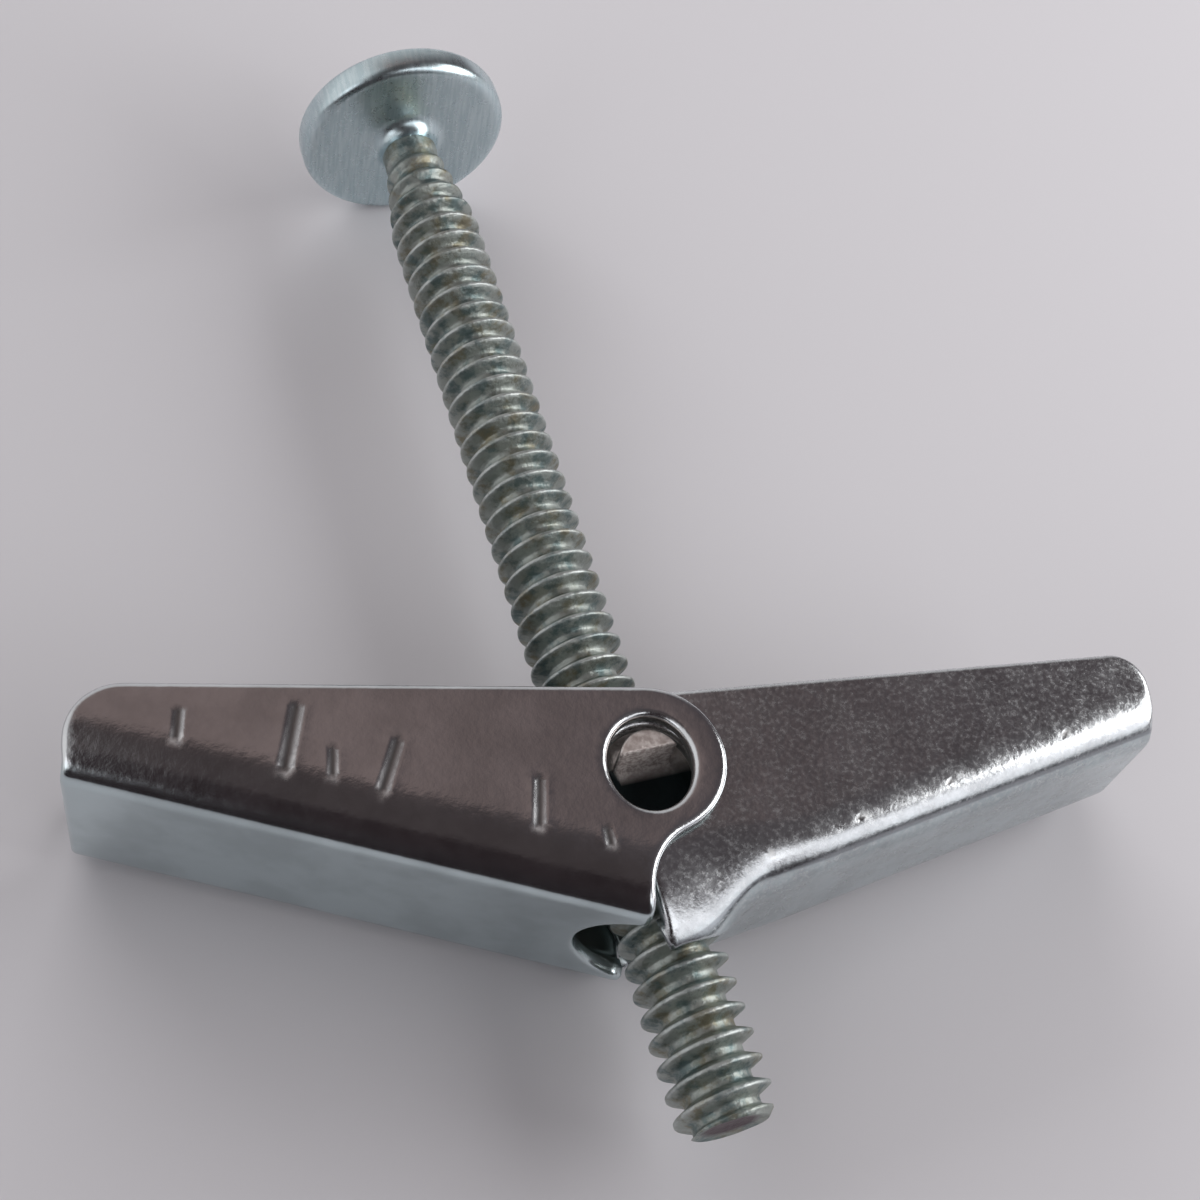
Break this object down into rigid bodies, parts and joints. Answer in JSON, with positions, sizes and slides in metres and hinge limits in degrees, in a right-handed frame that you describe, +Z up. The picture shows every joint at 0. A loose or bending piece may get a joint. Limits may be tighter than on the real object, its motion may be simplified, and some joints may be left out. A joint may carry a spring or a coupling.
{
  "type": "spring toggle bolt",
  "caption": "Mushroom head machine screw carrying a trunnion nut with sprung channel wings that fold towards the head and spring open behind a hollow wall.",
  "frame": {"origin": "middle of the footprint, on the surface that the part lies on", "axes": "+Y along the bolt towards its head (within one degree of level), +X towards the inner wing's tip, +Z up along the wings' pivot"},
  "size_m": [0.0338, 0.0403, 0.0077],
  "materials": {
    "bolt_zinc": "bright zinc plating",
    "nut_zinc": "dull zinc plating",
    "spring_wire": "drawn spring steel",
    "outer_wing_zinc": "bright zinc plating, dented",
    "inner_wing_zinc": "bright zinc plating, speckled"
  },
  "bodies": {
    "screw": {"bolt": "bolt_zinc"},
    "nut": {"trunnion_nut": "nut_zinc", "spring": "spring_wire"},
    "outer_wing": {"outer_wing": "outer_wing_zinc"},
    "inner_wing": {"inner_wing": "inner_wing_zinc"}
  },
  "joints": [
    {"name": "nut_travel", "type": "slide", "parent": "screw", "child": "nut", "axis": [0, 0.9999, 0.0129], "range_m": [-0.0075, 0.008]},
    {"name": "outer_wing_fold", "type": "hinge", "parent": "nut", "child": "outer_wing", "pos_m": [-0.00021, -0.00985, 0.00349], "axis": [0, 0.0129, -0.9999], "range_deg": [0, 70], "stiffness_Nm_per_rad": 0.005, "springref_deg": -34.38, "deforming": ["spring"]},
    {"name": "inner_wing_fold", "type": "hinge", "parent": "nut", "child": "inner_wing", "pos_m": [-0.00021, -0.00985, 0.00349], "axis": [0, -0.0129, 0.9999], "range_deg": [0, 90], "stiffness_Nm_per_rad": 0.005, "springref_deg": -34.38}
  ]
}
